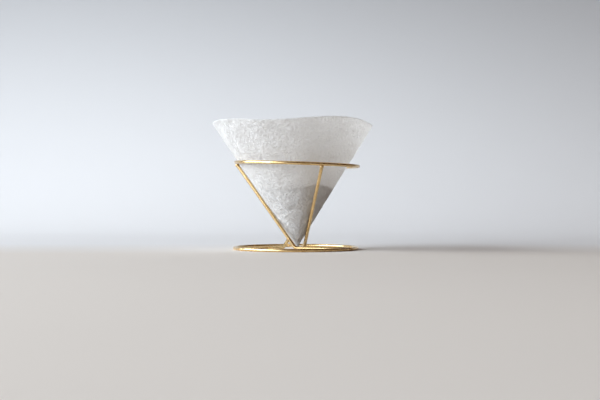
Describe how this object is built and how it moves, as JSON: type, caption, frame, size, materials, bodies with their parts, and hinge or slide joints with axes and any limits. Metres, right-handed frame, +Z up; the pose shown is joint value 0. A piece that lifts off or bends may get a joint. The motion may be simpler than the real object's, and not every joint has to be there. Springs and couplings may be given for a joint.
{
  "type": "pour over coffee dripper",
  "caption": "Brass wire pour over dripper: an upper hoop and a base hoop joined by three bent legs, holding an open paper cone filter with ground coffee.",
  "frame": {"origin": "under the middle of the whole object, on the surface that the base hoop rests on", "axes": "+Z up, -Y towards the viewer of the front, +X to the right; the filter's wider way across lies along X"},
  "size_m": [0.1191, 0.1064, 0.0979],
  "materials": {
    "brass_wire": "satin drawn wire, lightly polished",
    "brazing_filler": "satin, smoothed by hand",
    "filter_paper": "matte, finely creped",
    "ground_coffee": "matte, granular"
  },
  "bodies": {
    "stand": {"upper_hoop": "brass_wire", "base_hoop": "brass_wire", "leg_left": "brass_wire", "leg_front": "brass_wire", "leg_rear": "brass_wire", "upper_joint_left": "brazing_filler", "upper_joint_front": "brazing_filler", "upper_joint_rear": "brazing_filler", "base_joint_left": "brazing_filler", "base_joint_front": "brazing_filler", "base_joint_rear": "brazing_filler"},
    "filter": {"paper_filter": "filter_paper", "filter_seam": "filter_paper", "coffee_grounds": "ground_coffee"}
  },
  "joints": [
    {"name": "filter_lift", "type": "slide", "parent": "stand", "child": "filter", "axis": [0, 0, 1], "range_m": [0, 0.08]}
  ]
}
